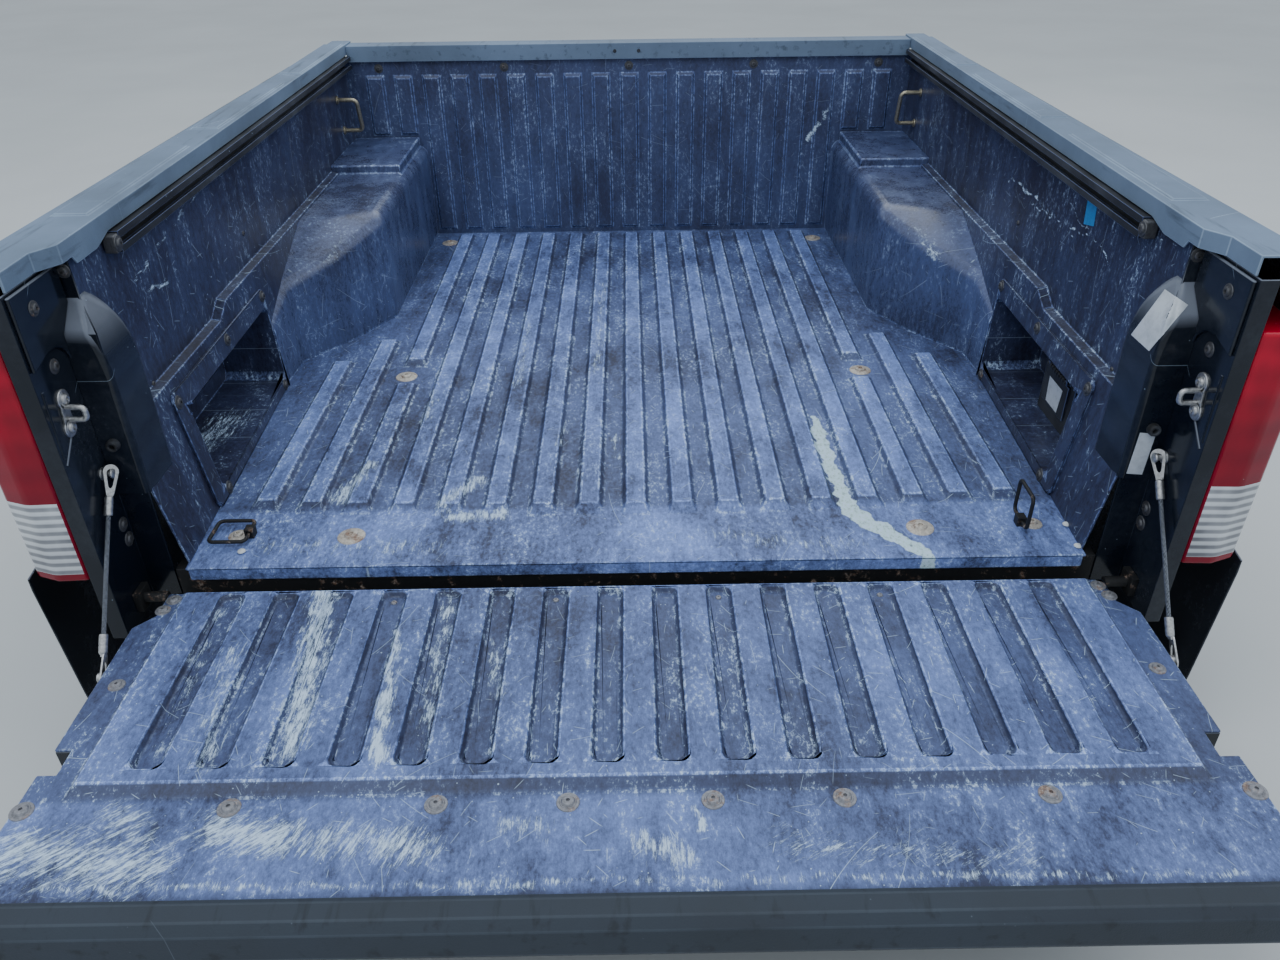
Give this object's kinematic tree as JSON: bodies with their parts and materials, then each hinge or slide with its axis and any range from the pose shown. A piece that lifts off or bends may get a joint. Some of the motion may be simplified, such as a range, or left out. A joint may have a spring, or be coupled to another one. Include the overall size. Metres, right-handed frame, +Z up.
{
  "type": "pickup truck load bed",
  "caption": "Open load bed of a midsize pickup: ribbed floor and front wall, wheelhouses, side bins, rails, lamps and a lowered hinged tailgate.",
  "frame": {"origin": "midway between the middle pair of frame studs, at the underside of the cross sills", "axes": "+Y towards the cab, +X to the bed's right-hand side seen from behind, +Z up"},
  "size_m": [1.864, 2.162, 0.8195],
  "materials": {
    "moulded_liner": "grained, worn",
    "faded_cap": "textured, faded",
    "body_paint": "gloss black",
    "black_plastic": "satin",
    "lamp_lens": "clear coloured lens",
    "chassis_steel": "satin black, rusty edges",
    "galvanised": "zinc plated, dull",
    "rusty_bolts": "rusted",
    "cable_rope": "stranded wire",
    "rubber": "matte"
  },
  "bodies": {
    "bed": {"bed_floor": "moulded_liner", "cable_anchors": "galvanised", "cross_sills": "chassis_steel", "floor_bolts": "rusty_bolts", "frame_studs": "galvanised", "front_header": "faded_cap", "front_panel": "moulded_liner", "fuel_pocket": "black_plastic", "gate_stops": "rubber", "gate_strikers": "galvanised", "hinge_ears": "chassis_steel", "left_arch_liner": "black_plastic", "left_cable": "cable_rope", "left_cleat_rail": "chassis_steel", "left_inner_wall": "moulded_liner", "left_rail_cap": "faded_cap", "left_rear_post": "body_paint", "left_side_panel": "body_paint", "left_storage_bin": "moulded_liner", "left_tail_lamp": "lamp_lens", "left_tie_hook": "galvanised", "left_wheelhouse": "moulded_liner", "outlet_housing": "black_plastic", "rear_sill": "chassis_steel", "right_arch_liner": "black_plastic", "right_cable": "cable_rope", "right_cleat_rail": "chassis_steel", "right_inner_wall": "moulded_liner", "right_rail_cap": "faded_cap", "right_rear_post": "body_paint", "right_side_panel": "body_paint", "right_storage_bin": "moulded_liner", "right_tail_lamp": "lamp_lens", "right_tie_hook": "galvanised", "right_wheelhouse": "moulded_liner", "ring_clips": "chassis_steel"},
    "tailgate": {"tailgate_outer": "body_paint", "tailgate_liner": "moulded_liner", "tailgate_top_cap": "faded_cap", "tailgate_handle": "body_paint", "gate_latches": "galvanised", "gate_pins": "chassis_steel", "gate_cable_studs": "galvanised"},
    "outlet_cover": {"outlet_cover": "black_plastic"},
    "fuel_door": {"fuel_door": "body_paint"},
    "left_tie_ring": {"left_tie_ring": "chassis_steel"},
    "right_tie_ring": {"right_tie_ring": "chassis_steel"}
  },
  "joints": [
    {"name": "tailgate_hinge", "type": "hinge", "parent": "bed", "child": "tailgate", "pos_m": [0, -0.649, 0.024], "axis": [-1, 0, 0], "range_deg": [0, 90], "deforming": ["left_cable", "right_cable"]},
    {"name": "outlet_cover_hinge", "type": "hinge", "parent": "bed", "child": "outlet_cover", "pos_m": [0.738, -0.258, 0.171], "axis": [0, 1, 0], "range_deg": [0, 100]},
    {"name": "fuel_door_hinge", "type": "hinge", "parent": "bed", "child": "fuel_door", "pos_m": [-0.84, 0.907, 0.276], "axis": [0, 0, -1], "range_deg": [0, 80]},
    {"name": "left_tie_ring_hinge", "type": "hinge", "parent": "bed", "child": "left_tie_ring", "pos_m": [-0.596, -0.541, 0.063], "axis": [0, 1, 0], "range_deg": [0, 180]},
    {"name": "right_tie_ring_hinge", "type": "hinge", "parent": "bed", "child": "right_tie_ring", "pos_m": [0.596, -0.541, 0.063], "axis": [0, 1, 0], "range_deg": [-90, 90]}
  ]
}
